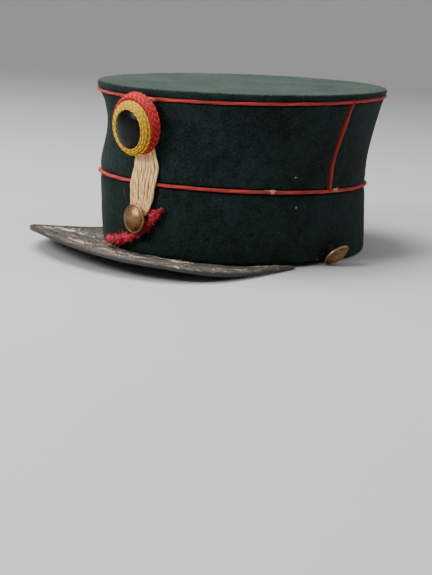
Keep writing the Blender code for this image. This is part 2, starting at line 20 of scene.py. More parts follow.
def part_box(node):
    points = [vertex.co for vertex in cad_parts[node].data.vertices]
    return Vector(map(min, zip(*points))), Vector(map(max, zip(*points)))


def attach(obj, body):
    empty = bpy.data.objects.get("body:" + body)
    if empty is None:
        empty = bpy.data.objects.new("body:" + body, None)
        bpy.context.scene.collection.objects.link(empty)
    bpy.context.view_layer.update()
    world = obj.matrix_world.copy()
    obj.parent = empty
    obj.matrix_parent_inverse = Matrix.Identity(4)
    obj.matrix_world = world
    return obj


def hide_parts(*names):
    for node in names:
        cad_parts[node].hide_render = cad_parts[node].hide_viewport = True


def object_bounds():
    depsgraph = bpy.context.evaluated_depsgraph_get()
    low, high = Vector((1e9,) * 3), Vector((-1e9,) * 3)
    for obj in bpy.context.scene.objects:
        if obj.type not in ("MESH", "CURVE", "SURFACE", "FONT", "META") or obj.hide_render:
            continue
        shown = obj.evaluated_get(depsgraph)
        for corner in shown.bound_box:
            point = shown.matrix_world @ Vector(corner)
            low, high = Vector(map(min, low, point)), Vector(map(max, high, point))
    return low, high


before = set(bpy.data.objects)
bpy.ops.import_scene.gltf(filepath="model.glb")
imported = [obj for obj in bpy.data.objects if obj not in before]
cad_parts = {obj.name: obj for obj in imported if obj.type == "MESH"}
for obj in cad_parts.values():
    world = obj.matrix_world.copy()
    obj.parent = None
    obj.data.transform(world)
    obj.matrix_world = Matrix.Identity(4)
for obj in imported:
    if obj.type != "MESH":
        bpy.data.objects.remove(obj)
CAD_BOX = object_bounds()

bl_info = {
    "name": "Kepi cap looks",
    "version": (1, 0, 0),
    "blender": (4, 5, 0),
    "location": "View3D > Sidebar > Kepi",
    "description": "Dresses the packed kepi cap in cloth, wool, cord, leather and brass",
    "category": "Object",
}

MM = 0.001
UP = Vector((0, 0, 1))
FORWARD = Vector((0, -1, 0))
BODY = "root"
WELD = 2e-6

# Sizes of the solids that the finer pieces follow
PIPING_RADIUS = 1.0 * MM
PIPING_LIFT = 0.12 * MM
BUTTON_DOME = 4.6 * MM

# Places of small damage, read off the cap's left side
PIPING_FRAYS = (
    Vector((0.0742, -0.0291, 0.0503)),
    Vector((0.0838, 0.0216, 0.0492)),
    Vector((0.0179, -0.0829, 0.1034)),
)
LINT_PLACES = (
    Vector((0.079, -0.013, 0.0585)),
    Vector((0.0795, -0.011, 0.040)),
    Vector((0.0825, 0.0105, 0.004)),
)
LOOSE_THREAD = Vector((-0.0045, -0.078, 0.0452))
BARE_PLACES = (
    Vector((-0.0728, -0.0906, 0.0102)),
    Vector((-0.0784, -0.0730, 0.0070)),
    Vector((-0.0715, -0.0715, 0.0062)),
    Vector((-0.0600, -0.0680, 0.0050)),
    Vector((-0.0155, -0.1080, 0.0110)),
    Vector((0.0252, -0.0979, 0.0074)),
    Vector((0.0413, -0.0771, 0.0048)),
)
DARK_PLACE = Vector((-0.0480, -0.1180, 0.0160))

# Middles that the peak's wear and its stitches curve round, and the crown's middle
PEAK_MIDDLE = Vector((0.0, 0.016, 0.0))
STITCH_MIDDLE = Vector((0.0, 0.010, 0.0))
CROWN_MIDDLE_Y = (CAD_BOX[0].y + CAD_BOX[1].y) / 2 + 0.02

# Where rays start, well outside the cap
FAR_FRONT = -0.3
FAR_SIDE = 0.2
FAR_ABOVE = 0.1

Strand = namedtuple("Strand", "points shares closed")
Seat = namedtuple("Seat", "matrix low high radius half_across half_up")
RingRow = namedtuple("RingRow", "across up drop height")
Oval = namedtuple("Oval", "half_width half_length middle_y height slope")


def colour_property(name, description, default):
    return FloatVectorProperty(
        name=name, description=description, default=default, size=3, subtype="COLOR", min=0.0, max=1.0
    )


def length_property(name, description, default):
    return FloatProperty(name=name, description=description, default=default, unit="LENGTH", min=0.0)


def angle_property(name, description, degrees):
    return FloatProperty(name=name, description=description, default=math.radians(degrees), subtype="ANGLE")


def power_property(name, description, default):
    return FloatProperty(name=name, description=description, default=default, unit="POWER", min=0.0)


class KepiCloth(PropertyGroup):
    """Cloth of the band, crown and top."""

    deep: colour_property("Deep colour", "Colour in the nap's hollows", (0.0012, 0.0044, 0.0036))
    worn: colour_property("Worn colour", "Colour of the nap's ends", (0.0078, 0.0200, 0.0170))
    # The top's colours are painted light: lighter than the side cloth's colours, for the light that falls
    # on the top from above.
    top_deep: colour_property(
        "Top's deep colour", "Colour of the top in the nap's hollows", (0.012, 0.024, 0.018)
    )
    top_worn: colour_property(
        "Top's worn colour", "Colour of the dusty nap on the top", (0.050, 0.072, 0.056)
    )
    ripple: length_property("Ripple", "How far the cloth waves in and out", 0.25 * MM)
    nap_length: length_property("Nap length", "Length of the loose hairs on the top's rim", 1.5 * MM)
    nap_hairs: IntProperty(
        name="Nap hairs", description="Number of loose hairs on the top's rim", default=5200, min=0
    )


class KepiPiping(PropertyGroup):
    """Red piping in the seams."""

    red: colour_property("Red", "Colour of the wool", (0.66, 0.030, 0.020))
    dull: colour_property("Dull red", "Colour of the wool where it is rubbed", (0.36, 0.030, 0.022))
    lay: length_property("Lay", "Length of one full twist", 36 * MM)


class KepiCockade(PropertyGroup):
    """Round cockade of wound cords and a leather boss."""

    red: colour_property("Red", "Colour of the outer ring", (0.86, 0.022, 0.022))
    yellow: colour_property("Yellow", "Colour of the inner ring", (1.0, 0.58, 0.004))
    lay: length_property("Lay", "Length of one full twist of a cord", 3.8 * MM)


class KepiCords(PropertyGroup):
    """Cream cords and the crimson tuft."""

    cream: colour_property("Cream", "Colour of the cords", (1.0, 0.68, 0.32))
    crimson: colour_property("Crimson", "Colour of the tuft", (0.82, 0.012, 0.055))
    cords: IntProperty(name="Cords", description="Number of cords side by side", default=8, min=2)
    yarns: IntProperty(name="Yarns", description="Number of yarn ends in the tuft", default=330, min=0)


class KepiLeather(PropertyGroup):
    """Leather of the peak."""

    sound: colour_property("Sound leather", "Colour where the finish is whole", (0.030, 0.027, 0.023))
    rubbed: colour_property("Rubbed leather", "Colour where the finish is rubbed", (0.150, 0.130, 0.100))
    bare: colour_property("Bare leather", "Colour where the finish has flaked off", (0.66, 0.53, 0.35))
    relief: length_property("Relief", "Height of the flakes and ridges", 0.46 * MM)


class KepiBrass(PropertyGroup):
    """Brass of the buttons."""

    bright: colour_property("Bright brass", "Colour of rubbed brass", (0.33, 0.185, 0.090))
    dark: colour_property("Dark brass", "Colour of the tarnish", (0.15, 0.065, 0.032))


class KepiStage(PropertyGroup):
    """Camera, floor and lights."""

    azimuth: angle_property("Azimuth", "Camera's direction round the cap", 43.129)
    elevation: angle_property("Elevation", "Camera's angle above level", 12.824)
    roll: angle_property("Roll", "Camera's turn about its own axis", 3.1025)
    lens: FloatProperty(name="Lens", description="Focal length in millimetres", default=76.858, min=1.0)
    distance: length_property("Distance", "From the camera to the point that it looks at", 0.850)
    aim: FloatVectorProperty(
        name="Aim",
        description="Point that the camera looks at",
        default=(0.0047, -0.0013, -0.0284),
        subtype="TRANSLATION",
        unit="LENGTH",
    )
    key_power: power_property("Key light", "Power of the main light", 25.0)
    fill_power: power_property("Fill light", "Power of the front light", 25.0)


class KepiLooks(PropertyGroup):
    """All that can be set."""

    cloth: PointerProperty(type=KepiCloth)
    piping: PointerProperty(type=KepiPiping)
    cockade: PointerProperty(type=KepiCockade)
    cords: PointerProperty(type=KepiCords)
    leather: PointerProperty(type=KepiLeather)
    brass: PointerProperty(type=KepiBrass)
    stage: PointerProperty(type=KepiStage)


def looks():
    return bpy.context.scene.kepi_looks


# Measuring the frame


def node_object(node):
    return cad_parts[node]


def tree_of(meshes):
    """A tree for casting rays at one or more meshes."""
    points, faces = [], []
    for mesh in meshes:
        start = len(points)
        points += [tuple(vertex.co) for vertex in mesh.vertices]
        faces += [tuple(start + i for i in face.vertices) for face in mesh.polygons]
    return BVHTree.FromPolygons(points, faces)


def node_tree(*nodes):
    return tree_of([node_object(node).data for node in nodes])


def piece_tree(name):
    return tree_of([bpy.data.objects[name].data])


def seat_of(node):
    """The place of a round node, +Z along its axis and out of the cap, and how far it reaches."""
    points = np.array([tuple(vertex.co) for vertex in node_object(node).data.vertices])
    middle = points.mean(axis=0)
    _, directions = np.linalg.eigh(np.cov((points - middle).T))
    axis = Vector(directions[:, 0])
    centre = Vector(middle)
    if axis.dot(Vector((centre.x, centre.y - CAD_BOX[1].y / 4, 0))) < 0:
        axis.negate()
    across = UP.cross(axis).normalized()
    turn = Matrix((across, axis.cross(across), axis)).transposed().to_4x4()
    heights = (points - middle) @ np.array(axis)
    spread = np.linalg.norm(points - middle - np.outer(heights, np.array(axis)), axis=1)
    sides = [np.ptp((points - middle) @ np.array(turn.col[i][:3])) / 2 for i in range(2)]
    place = Matrix.Translation(centre) @ turn
    return Seat(place, float(heights.min()), float(heights.max()), float(spread.max()), *map(float, sides))


def front_hit(tree, x, z):
    """Where a ray from the front meets a tree, or None."""
    return tree.ray_cast(Vector((x, FAR_FRONT, z)), -FORWARD)[0]


def oval_of(node, rises_back):
    """The oval that a ring of piping follows."""
    low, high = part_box(node)
    half_width = high.x - PIPING_RADIUS
    half_length = (high.y - low.y) / 2 - PIPING_RADIUS
    rise = high.z - low.z - 2 * PIPING_RADIUS
    slope = rise / (2 * half_length) * (1 if rises_back else -1)
    return Oval(half_width, half_length, (low.y + high.y) / 2, (low.z + high.z) / 2, slope)


def oval_point(oval, turn, out):
    """A point outside the oval by a distance, and the level direction away from the cap there."""
    normal = Vector((math.sin(turn) / oval.half_width, -math.cos(turn) / oval.half_length, 0)).normalized()
    point = Vector((oval.half_width * math.sin(turn), oval.middle_y - oval.half_length * math.cos(turn), 0))
    point.z = oval.height + oval.slope * (point.y - oval.middle_y)
    return point + normal * out, normal


# Making meshes


def copy_of(node):
    """A welded copy of a node with its triangles joined to four-sided faces."""
    made = bmesh.new()
    made.from_mesh(node_object(node).data)
    bmesh.ops.remove_doubles(made, verts=made.verts, dist=WELD)
    bmesh.ops.join_triangles(made, faces=made.faces, angle_face_threshold=0.7, angle_shape_threshold=0.7)
    return made


def turned(outline, steps):
    """A shape turned round the Z axis from an outline of (out, up) places."""
    made = bmesh.new()
    points = [made.verts.new((out, 0, up)) for out, up in outline]
    edges = [made.edges.new(pair) for pair in zip(points, points[1:])]
    bmesh.ops.spin(
        made,
        geom=points + edges,
        cent=(0, 0, 0),
        axis=(0, 0, 1),
        angle=math.tau,
        steps=steps,
        use_merge=True,
    )
    bmesh.ops.remove_doubles(made, verts=made.verts, dist=WELD)
    bmesh.ops.recalc_face_normals(made, faces=made.faces)
    return made


def mesh_from(made, name):
    mesh = bpy.data.meshes.new(name)
    made.to_mesh(mesh)
    made.free()
    for left_over in ("custom_normal", "sharp_edge", "sharp_face"):
        if left_over in mesh.attributes:
            mesh.attributes.remove(mesh.attributes[left_over])
    mesh.shade_smooth()
    return mesh


def subdivided(made, name, levels):
    """The mesh of a bmesh after smooth subdivision."""
    carrier = bpy.data.objects.new(name, mesh_from(made, name))
    bpy.context.scene.collection.objects.link(carrier)
    smooth = carrier.modifiers.new("smooth", "SUBSURF")
    smooth.levels = levels
    smooth.render_levels = levels
    graph = bpy.context.evaluated_depsgraph_get()
    mesh = bpy.data.meshes.new_from_object(carrier.evaluated_get(graph))
    bpy.data.objects.remove(carrier, do_unlink=True)
    mesh.name = name
    mesh.shade_smooth()
    return mesh


def piece(name, mesh, finish, slot, *replaced):
    """A finished piece of the cap, which rides on its body and may stand for nodes."""
    obj = bpy.data.objects.new(name, mesh)
    bpy.context.scene.collection.objects.link(obj)
    mesh.materials.clear()
    mesh.materials.append(finish)
    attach(obj, BODY)
    if replaced:
        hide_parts(*replaced)
    return obj


def repaint(node, finish):
    """Gives a node that stays its finish."""
    mesh = node_object(node).data
    mesh.materials.clear()
    mesh.materials.append(finish)


def set_values(mesh, name, values):
    """Gives a mesh one value per vertex that its finish can read."""
    mesh.attributes.new(name, "FLOAT", "POINT").data.foreach_set("value", values)


def shifted(mesh, shift):
    """Moves each vertex by a function of its place and normal."""
    mesh.update()
    found = [(vertex.co.copy(), vertex.normal.copy()) for vertex in mesh.vertices]
    for vertex, (point, normal) in zip(mesh.vertices, found):
        vertex.co = point + shift(point, normal)
    mesh.update()


def tubes(name, strands, radius, resolution):
    """A mesh of round strands. Each strand's shares are its radius along the way."""
    curve = bpy.data.curves.new(name, "CURVE")
    curve.dimensions = "3D"
    curve.bevel_depth = radius
    curve.bevel_resolution = resolution
    curve.use_fill_caps = True
    for strand in strands:
        spline = curve.splines.new("POLY")
        spline.points.add(len(strand.points) - 1)
        flat = [value for point in strand.points for value in (*point, 1.0)]
        spline.points.foreach_set("co", flat)
        spline.points.foreach_set("radius", strand.shares)
        spline.use_cyclic_u = strand.closed
    carrier = bpy.data.objects.new(name, curve)
    mesh = bpy.data.meshes.new_from_object(carrier)
    bpy.data.objects.remove(carrier, do_unlink=True)
    made = bmesh.new()
    made.from_mesh(mesh)
    bmesh.ops.remove_doubles(made, verts=made.verts, dist=WELD)
    bmesh.ops.recalc_face_normals(made, faces=made.faces)
    return mesh_from(made, name)


def even_path(points, step, closed=False):
    """The same path with points at even steps, and its length."""
    ends = points + [points[0]] if closed else points
    lengths = [(b - a).length for a, b in zip(ends, ends[1:])]
    total = sum(lengths)
    count = max(int(round(total / step)), 2)
    found = []
    i, passed = 0, 0.0
    for number in range(count if closed else count + 1):
        target = total * number / count
        while i < len(lengths) - 1 and passed + lengths[i] < target:
            passed += lengths[i]
            i += 1
        found.append(ends[i].lerp(ends[i + 1], (target - passed) / lengths[i]))
    return found, total


def plied(points, facing, plies, offset, lay, hand=1, closed=False, step_share=0.1, start=0.0):
    """The plies of a cord that twists round a path, as strands. facing is a direction across the path."""
    path, total = even_path(points, lay * step_share, closed)
    turns = max(round(total / lay), 1) if closed else total / lay
    last = len(path) - 1
    strands = []
    for ply in range(plies):
        found = []
        for i, point in enumerate(path):
            ahead = path[(i + 1) % len(path)] if closed else path[min(i + 1, last)]
            behind = path[i - 1] if closed or i else path[0]
            along = (ahead - behind).normalized()
            outward = facing(point) if callable(facing) else facing
            side = along.cross(outward).normalized()
            outward = side.cross(along)
            share = i / (len(path) if closed else last)
            turn = math.tau * (hand * turns * share + ply / plies) + start
            found.append(point + (side * math.cos(turn) + outward * math.sin(turn)) * offset)
        strands.append(Strand(found, [1.0] * len(found), closed))
    return strands


def any_way(chance):
    return Vector((chance.uniform(-1, 1), chance.uniform(-1, 1), chance.uniform(-1, 1)))


def hair(root, direction, length, bend, chance):
    """One loose fibre as a strand of three points."""
    swerve = any_way(chance) * bend * length
    middle = root + direction * length * 0.55 + swerve * 0.4
    return Strand([root, middle, root + direction * length + swerve], [1.0, 0.8, 0.3], False)


# Finishes


class Finish:
    """A material whose nodes are added one after another."""

    def __init__(self, name, roughness=0.9):
        self.material = bpy.data.materials.new(name)
        self.material.use_nodes = True
        self.tree = self.material.node_tree
        self.shader = self.tree.nodes["Principled BSDF"]
        self.place = self.add("TexCoord").outputs["Object"]
        self.shader.inputs["Roughness"].default_value = roughness

    def put(self, socket, value):
        if isinstance(value, bpy.types.NodeSocket):
            self.tree.links.new(value, socket)
        elif socket.type == "RGBA":
            socket.default_value = (*value, 1.0)
        else:
            socket.default_value = value

    def add(self, kind, sockets=None, **settings):
        node = self.tree.nodes.new("ShaderNode" + kind)
        for key, value in settings.items():
            setattr(node, key, value)
        for key, value in (sockets or {}).items():
            self.put(node.inputs[key], value)
        return node

    def set(self, **values):
        """Sets the shader's sockets: an underscore stands for a blank."""
        for key, value in values.items():
            self.put(self.shader.inputs[key.replace("_", " ")], value)

    def stretch(self, amounts, place=None):
        return self.add("Mapping", {"Vector": place or self.place, "Scale": amounts}).outputs["Vector"]

    def noise(self, grain, detail=2.0, place=None):
        """Smooth noise whose features are about as wide as the grain."""
        sockets = {"Vector": place or self.place, "Scale": 1 / grain, "Detail": detail}
        return self.add("TexNoise", sockets).outputs["Fac"]

    def cells(self, grain, feature="F1", place=None):
        """Distances inside cells that are about as wide as the grain."""
        sockets = {"Vector": place or self.place, "Scale": 1 / grain}
        return self.add("TexVoronoi", sockets, feature=feature).outputs["Distance"]

    def attribute(self, name, output="Fac"):
        return self.add("Attribute", attribute_name=name).outputs[output]

    def span(self, value, low, high, to_low=0.0, to_high=1.0):
        """Maps a range of values smoothly to another."""
        sockets = {"Value": value, "From Min": low, "From Max": high, "To Min": to_low, "To Max": to_high}
        return self.add("MapRange", sockets, interpolation_type="SMOOTHSTEP").outputs["Result"]

    def sum(self, a, b, operation="ADD"):
        return self.add("Math", {0: a, 1: b}, operation=operation).outputs["Value"]

    def times(self, a, b):
        return self.sum(a, b, "MULTIPLY")

    def blend(self, share, a, b):
        node = self.add("Mix", data_type="RGBA")
        self.put(node.inputs[0], share)
        self.put(node.inputs[6], a)
        self.put(node.inputs[7], b)
        return node.outputs[2]

    def near(self, spots, reach):
        """1 close to any of these places, falling to 0 at the reach."""
        found = 0.0
        for spot in spots:
            away = self.add("VectorMath", {0: self.place, 1: tuple(spot)}, operation="DISTANCE")
            share = self.span(away.outputs["Value"], 0.0, reach, 1.0, 0.0)
            found = self.sum(found, share, "MAXIMUM")
        return found

    def bump(self, height, distance, strength):
        """Adds fine relief on top of the relief that is already there."""
        sockets = {"Height": height, "Distance": distance, "Strength": strength}
        node = self.add("Bump", sockets)
        old = self.shader.inputs["Normal"].links
        if old:
            self.put(node.inputs["Normal"], old[0].from_socket)
        self.put(self.shader.inputs["Normal"], node.outputs["Normal"])


def darker(colour, share):
    return tuple(value * share for value in colour)


def cloth_finish(name, deep, worn, dust, top=None):
    """Milled wool cloth: a short felted nap, mottled wear and a few pale specks. Given top colours, cloth
    that faces up is painted lighter, as painted light from above.
    """
    made = Finish(name, 0.95)
    nap = made.noise(1.3 * MM, 4.0)
    weave = made.noise(0.35 * MM, 1.0)
    mottle = made.noise(6 * MM, 3.0)
    patch = made.noise(38 * MM, 2.0)
    share = made.sum(made.times(nap, 0.75), made.times(mottle, 0.35))
    share = made.sum(share, made.times(patch, 0.4))
    colour = made.blend(made.span(share, 0.58, 0.92), deep, worn)
    # Painted light: cloth that faces up is blended towards the lighter top colours, for the light from
    # above and the sheen on the top.
    if top:
        flat = made.sum(made.attribute("topside"), made.times(made.sum(nap, -0.5), 0.5))
        toplit = made.blend(made.span(share, 0.45, 0.95), *top)
        colour = made.blend(made.span(flat, 0.55, 0.92), colour, toplit)
    specks = made.times(made.span(made.cells(3.2 * MM), 0.16, 0.05), made.span(mottle, 0.52, 0.62))
    colour = made.blend(made.times(specks, dust), colour, (0.10, 0.12, 0.10))
    made.set(Base_Color=colour, Sheen_Weight=0.05, Sheen_Roughness=0.4, Sheen_Tint=(0.45, 0.70, 0.62))
    made.set(Specular_IOR_Level=0.2)
    made.bump(made.sum(made.times(nap, 0.7), made.times(weave, 0.3)), 0.45 * MM, 0.8)
    made.bump(mottle, 0.5 * MM, 0.5)
    return made.material


def wool_finish(name, bright, dull, grain=0.9 * MM, frays=(), bare=(0.80, 0.50, 0.28)):
    """Spun wool, duller where it is rubbed and bare where it is frayed."""
    made = Finish(name, 0.85)
    fibre = made.noise(grain, 3.0)
    patch = made.noise(9 * MM, 2.0)
    share = made.sum(made.times(fibre, 0.6), made.times(patch, 0.6))
    colour = made.blend(made.span(share, 0.45, 0.80), dull, bright)
    if frays:
        worn = made.times(made.near(frays, 3.0 * MM), made.span(made.noise(1.6 * MM, 2.0), 0.50, 0.64))
        colour = made.blend(worn, colour, bare)
    made.set(Base_Color=colour, Sheen_Weight=0.08, Sheen_Roughness=0.4)
    made.bump(made.noise(0.28 * MM, 2.0), 0.18 * MM, 0.8)
    return made.material


def lit_and_shaded_wools(name, bright, share):
    """A light and a deep wool of the same colour, for the two plies of a cord: the deep one is painted
    shade, standing in for the shadow in the grooves between the plies.
    """
    deep = darker(bright, share)
    light = wool_finish(name + "_light", bright, darker(bright, 0.7), 0.6 * MM)
    return light, wool_finish(name + "_deep", deep, darker(deep, 0.6), 0.6 * MM)


def cord_finish(name, light):
    """Soft cotton yarn that runs up and down."""
    made = Finish(name, 0.88)
    fibre = made.noise(0.3 * MM, 2.0, made.stretch((1.0, 1.0, 0.12)))
    patch = made.noise(7 * MM, 2.0)
    share = made.sum(made.times(fibre, 0.6), made.times(patch, 0.5))
    made.set(Base_Color=made.blend(made.span(share, 0.30, 0.62), darker(light, 0.66), light))
    made.set(Sheen_Weight=0.04, Sheen_Roughness=0.5)
    made.bump(fibre, 0.25 * MM, 0.8)
    return made.material


def peak_finish(name, colours, crack_depth):
    """Old leather whose dark finish has cracked and flaked along the peak's curve."""
    made = Finish(name, 0.7)
    wear = made.attribute("wear")
    top = made.attribute("topside")
    drawn = made.attribute("drawn", "Vector")
    grit = made.noise(0.7 * MM, 4.0)
    cloud = made.noise(8 * MM, 3.0)
    streak = made.noise(1.3 * MM, 4.0, made.stretch((0.2, 1.0, 1.0), drawn))
    share = made.sum(made.times(streak, 0.50), made.sum(made.times(grit, 0.25), made.times(cloud, 0.45)))
    share = made.sum(share, made.times(made.sum(wear, -0.4), 0.35))
    rubbed = made.span(share, 0.50, 0.72)
    colour = made.blend(made.times(rubbed, top), colours.sound, colours.rubbed)
    broken = made.sum(wear, made.times(made.sum(streak, -0.5), 1.1))
    colour = made.blend(made.times(made.span(broken, 0.62, 0.80), top), colour, colours.bare)
    cracks = made.cells(2.4 * MM, "DISTANCE_TO_EDGE", made.stretch((0.3, 1.0, 1.0), drawn))
    crack = made.times(made.span(cracks, 0.11, 0.02), made.span(cloud, 0.42, 0.58))
    colour = made.blend(made.times(crack, crack_depth), colour, (0.010, 0.008, 0.007))
    made.set(Base_Color=colour, Roughness=made.span(grit, 0.3, 0.7, 0.50, 0.85))
    made.bump(made.sum(made.times(grit, 0.5), made.times(streak, 0.5)), 0.45 * MM, 0.9)
    made.bump(made.sum(1.0, crack, "SUBTRACT"), 0.35 * MM, 0.7)
    return made.material


def boss_finish(name):
    """Smooth black leather with a fine grain."""
    made = Finish(name, 0.42)
    grain = made.cells(0.55 * MM, "DISTANCE_TO_EDGE")
    rub = made.noise(5 * MM, 3.0)
    black, grey = (0.0010, 0.0010, 0.0014), (0.0040, 0.0032, 0.0038)
    made.set(Base_Color=made.blend(made.span(rub, 0.45, 0.75), black, grey), Specular_IOR_Level=0.15)
    made.set(Roughness=made.span(rub, 0.3, 0.7, 0.13, 0.20))
    made.bump(made.span(grain, 0.0, 0.25), 0.05 * MM, 0.5)
    return made.material


def brass_finish(name, bright, dark):
    """Tarnished brass, brighter on what stands up, with small pits."""
    made = Finish(name, 0.4)
    tarnish = made.noise(2.6 * MM, 5.0)
    pits = made.cells(0.9 * MM)
    raised = made.attribute("raised")
    share = made.sum(made.times(tarnish, 0.9), made.times(raised, 0.35))
    made.set(Base_Color=made.blend(made.span(share, 0.36, 0.78), dark, bright), Metallic=1.0)
    made.set(Roughness=made.span(share, 0.3, 0.8, 0.58, 0.36))
    made.bump(made.span(pits, 0.0, 0.30), 0.14 * MM, 0.8)
    made.bump(tarnish, 0.12 * MM, 0.5)
    return made.material


# Cloth


def build_cloth():
    values = looks().cloth
    broad, fine, hem = 16 * MM, 5 * MM, 4 * MM
    side = cloth_finish("napped_cloth", values.deep, values.worn, 0.5)
    # The top's finish paints the light from above into the colour of the cloth that faces up.
    toplit = (values.top_deep, values.top_worn)
    top = cloth_finish("toplit_cloth", values.deep, values.worn, 0.6, toplit)

    def wave(point, normal):
        height = noise.noise(point / broad) + 0.5 * noise.noise(point / fine)
        return normal * height * values.ripple * min(point.z / hem, 1.0)

    for node in ("lower_band", "crown_front", "crown_back", "crown_top"):
        mesh = subdivided(copy_of(node), node + "_cloth", 2)
        mesh.update()
        # topside: how far each vertex faces up; the top's finish reads it for its painted light.
        set_values(mesh, "topside", [min(max(vertex.normal.z, 0.0), 1.0) for vertex in mesh.vertices])
        shifted(mesh, wave)
        piece(node + "_cloth", mesh, top if node == "crown_top" else side, "green_cloth", node)
    build_nap(side, values)


def build_nap(finish, values):
    """Loose hairs that soften the top's rim."""
    chance = random.Random(4)
    rim = oval_of("top_piping", True)
    away, lowest, highest = 20 * MM, 1.6, 9.5
    tree = piece_tree("crown_top_cloth")
    strands = []
    for _ in range(values.nap_hairs):
        start, normal = oval_point(rim, chance.uniform(0, math.tau), away)
        start.z += chance.uniform(lowest, highest) * MM
        hit, face_normal, _, _ = tree.ray_cast(start, -normal - UP * chance.uniform(0, 0.5))
        if hit is None:
            continue
        direction = (face_normal + any_way(chance) * 0.9).normalized()
        strands.append(hair(hit, direction, values.nap_length * chance.uniform(0.4, 1.0), 0.35, chance))
    piece("rim_nap", tubes("rim_nap", strands, 0.035 * MM, 0), finish, "green_cloth")


# Piping


def ring_path(node, rises_back):
    """The closed line of a level ring of piping."""
    oval = oval_of(node, rises_back)
    count = 720
    return [oval_point(oval, math.tau * i / count, PIPING_LIFT)[0] for i in range(count)]


def seam_path(node, side):
    """The line of the side seam's piping, found by rays from that side."""
    tree = node_tree(node)
    low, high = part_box(node)
    rows, columns = 60, 119
    found = []
    for row in range(rows + 1):
        z = low.z + (high.z - low.z) * (0.01 + 0.98 * row / rows)
        hits = []
        for column in range(columns + 1):
            y = low.y + (high.y - low.y) * column / columns
            hit = tree.ray_cast(Vector((side * FAR_SIDE, y, z)), Vector((-side, 0, 0)))[0]
            if hit:
                hits.append(hit)
        if hits:
            y = sum(hit.y for hit in hits) / len(hits)
            x = max(abs(hit.x) for hit in hits)
            found.append(Vector((side * (x - PIPING_RADIUS + PIPING_LIFT), y, z)))
    return found


def outward_from_cap(point):
    return Vector((point.x, point.y - CROWN_MIDDLE_Y, 0)).normalized()


def build_piping():
    values = looks().piping
    wool = wool_finish("piping_wool", values.red, values.dull, frays=PIPING_FRAYS)
    # Painted shade: a darker copy of the red wool colours every other ply and the solid under them, for the
    # shadow between the plies.
    shaded_red, shaded_dull = darker(values.red, 0.72), darker(values.dull, 0.6)
    deep = wool_finish("piping_shaded_wool", shaded_red, shaded_dull, frays=PIPING_FRAYS)
    ply = PIPING_RADIUS * 0.56
    for node, rises_back in (("band_piping", False), ("top_piping", True)):
        strands = plied(ring_path(node, rises_back), UP, 2, ply * 0.9, values.lay, 1, True, 0.05)
        twist_piece(node, strands, ply, wool, deep)
    for node, side in (("side_piping_left", 1), ("side_piping_right", -1)):
        outward = Vector((side, 0, 0))
        strands = plied(seam_path(node, side), outward, 2, ply * 0.80, values.lay, 1, False, 0.05)
        twist_piece(node, strands, ply * 0.86, wool, deep)
    build_frays(wool)


def twist_piece(node, strands, radius, wool, deep):
    """The two strands of one piping over its solid: one strand and the solid are painted deeper in colour,
    as painted shade in the grooves.
    """
    lit_and_shaded_pieces(node, strands, radius, 2, (wool, deep), "red_piping")
    repaint(node, deep)


def lit_and_shaded_pieces(name, strands, radius, resolution, finishes, slot):
    """Twisted strands as two pieces: every other strand is light, and the rest are deep, which is painted
    shade for the grooves between the strands.
    """
    for tone, part, finish in (("light", strands[::2], finishes[0]), ("deep", strands[1::2], finishes[1])):
        label = name + "_" + tone
        piece(label, tubes(label, part, radius, resolution), finish, slot)


def build_frays(wool):
    """Broken fibres where the piping is worn, and the fuzz along it."""
    chance = random.Random(11)
    fray_ends, fuzz_hairs = 34, 900
    bare = wool_finish("bare_thread", (0.95, 0.70, 0.42), (0.70, 0.42, 0.22))
    pale, lumps, red = [], [], []
    for spot in PIPING_FRAYS:
        outward = outward_from_cap(spot)
        along = UP.cross(outward).normalized()
        for i in range(fray_ends):
            root = spot + along * chance.gauss(0, 1.5) * MM + UP * chance.uniform(-0.6, 0.6) * MM
            lean = along * chance.choice((-1, 1)) + outward * chance.uniform(0.1, 0.5)
            lean = (lean + UP * chance.uniform(-0.45, 0.45)).normalized()
            if i % 3:
                lumps.append(hair(root, lean, chance.uniform(0.8, 1.9) * MM, 0.3, chance))
            else:
                root = spot + along * chance.gauss(0, 0.8) * MM + UP * chance.choice((-0.5, 0.5)) * MM
                root += outward * 0.5 * MM
                lean -= outward * 0.2
                pale.append(hair(root, lean, chance.uniform(2.4, 3.6) * MM, 0.05, chance))
    for node, rises_back in (("band_piping", False), ("top_piping", True)):
        oval = oval_of(node, rises_back)
        for _ in range(fuzz_hairs):
            root, outward = oval_point(oval, chance.uniform(0, math.tau), PIPING_RADIUS)
            lean = (outward * 0.7 + any_way(chance)).normalized()
            red.append(hair(root, lean, chance.uniform(0.5, 1.3) * MM, 0.4, chance))
    piece("piping_bare_threads", tubes("piping_bare_threads", pale, 0.15 * MM, 1), bare, "red_piping")
    piece("piping_lumps", tubes("piping_lumps", lumps, 0.30 * MM, 1), wool, "red_piping")
    piece("piping_fuzz", tubes("piping_fuzz", red, 0.04 * MM, 0), wool, "red_piping")


# Cockade


def ring_cords(name, place, outer, inner, rows, radius, finishes, slot):
    """Cords laid in rings from an outer row to an inner one, each twisted the other way from the last."""
    values = looks().cockade
    steps = 120
    ply = radius * 0.52
    strands = []
    for number in range(rows):
        share = number / (rows - 1)
        row = RingRow(*(a + (b - a) * share for a, b in zip(outer, inner)))
        swell = radius * 0.5 * math.sin(math.pi * share)
        ring = []
        for i in range(steps):
            turn = math.tau * i / steps
            x, y = row.across * math.cos(turn), row.up * math.sin(turn) - row.drop
            ring.append(place @ Vector((x, y, row.height + swell)))
        axis = place.to_3x3() @ UP
        hand = 1 if number % 2 else -1
        strands += plied(ring, axis, 2, ply, values.lay, hand, True, 0.08, number * 0.7)
    lit_and_shaded_pieces(name, strands, ply, 1, finishes, slot)


